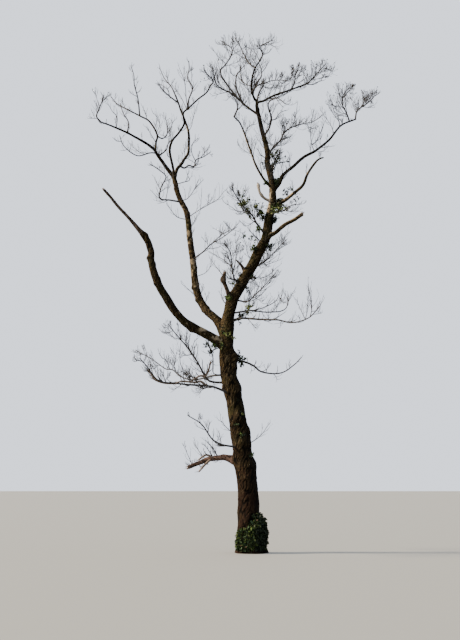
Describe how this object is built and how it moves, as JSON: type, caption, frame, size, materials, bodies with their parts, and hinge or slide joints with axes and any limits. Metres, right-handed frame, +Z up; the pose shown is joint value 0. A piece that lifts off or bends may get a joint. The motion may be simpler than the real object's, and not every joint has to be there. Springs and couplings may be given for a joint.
{
  "type": "bare broadleaf tree",
  "caption": "Tall, mostly dead and leafless broadleaf tree with a leaning forked trunk, broken limbs, crooked branches, thin twigs and a few leafy shoots.",
  "frame": {"origin": "middle of the flat cut under the trunk, at ground level", "axes": "+Z up the tree, +X to the right as in the picture, -Y towards the picture's viewer"},
  "size_m": [7.6539, 4.2943, 13.5428],
  "materials": {
    "bark": "rough, deeply fissured bark",
    "dead_wood": "bleached dead wood with strips of bark left on it",
    "twigs": "thin dull twig bark",
    "leafy_shoots": "leaves with a soft waxy sheen on thin shoots",
    "foot_leaves": "dark leaves with a waxy sheen"
  },
  "bodies": {
    "root": {"trunk": "bark", "leader_lower": "bark", "leader_upper": "bark", "left_bough_lower": "bark", "left_bough_upper": "dead_wood", "middle_bough": "bark", "left_crown_limb": "bark", "right_crown_limb": "bark", "crossing_limb": "bark", "zigzag_limb": "bark", "right_low_limb": "bark", "right_bare_limb": "bark", "right_long_limb": "bark", "leaning_left_limb": "bark", "top_right_limb": "bark", "top_left_limb": "bark", "top_limb": "bark", "lower_stub": "dead_wood", "upper_stub": "dead_wood", "pale_stub": "dead_wood", "low_dead_limb": "dead_wood", "left_tip_twigs": "twigs", "left_low_twigs": "twigs", "left_rising_twigs": "twigs", "spire_twigs": "twigs", "zigzag_tip_twigs": "twigs", "inner_left_twigs": "twigs", "upper_left_twigs": "twigs", "pole_tip_twigs": "twigs", "candle_twigs": "twigs", "reaching_twigs": "twigs", "hooked_twigs": "twigs", "low_left_twigs": "twigs", "long_right_twigs": "twigs", "leaning_tip_twigs": "twigs", "side_left_twigs": "twigs", "top_left_twigs": "twigs", "top_middle_twigs": "twigs", "top_inner_twigs": "twigs", "mid_right_twigs": "twigs", "fan_twigs": "twigs", "top_right_tip_twigs": "twigs", "curling_twigs": "twigs", "outer_right_twigs": "twigs", "broom_twigs": "twigs", "far_right_twigs": "twigs", "leafy_left_shoot": "leafy_shoots", "leafy_right_shoot": "leafy_shoots", "leafy_top_shoot": "leafy_shoots", "left_fan_twigs": "twigs", "right_fan_twigs": "twigs", "right_spray_twigs": "twigs", "drooping_twigs": "twigs", "long_drooping_twigs": "twigs", "trunk_right_twigs": "twigs", "trunk_left_twigs": "twigs", "trunk_forked_twigs": "twigs", "trunk_rising_twigs": "twigs", "low_branch_twigs": "twigs", "foot_leaves": "foot_leaves"}
  },
  "joints": []
}
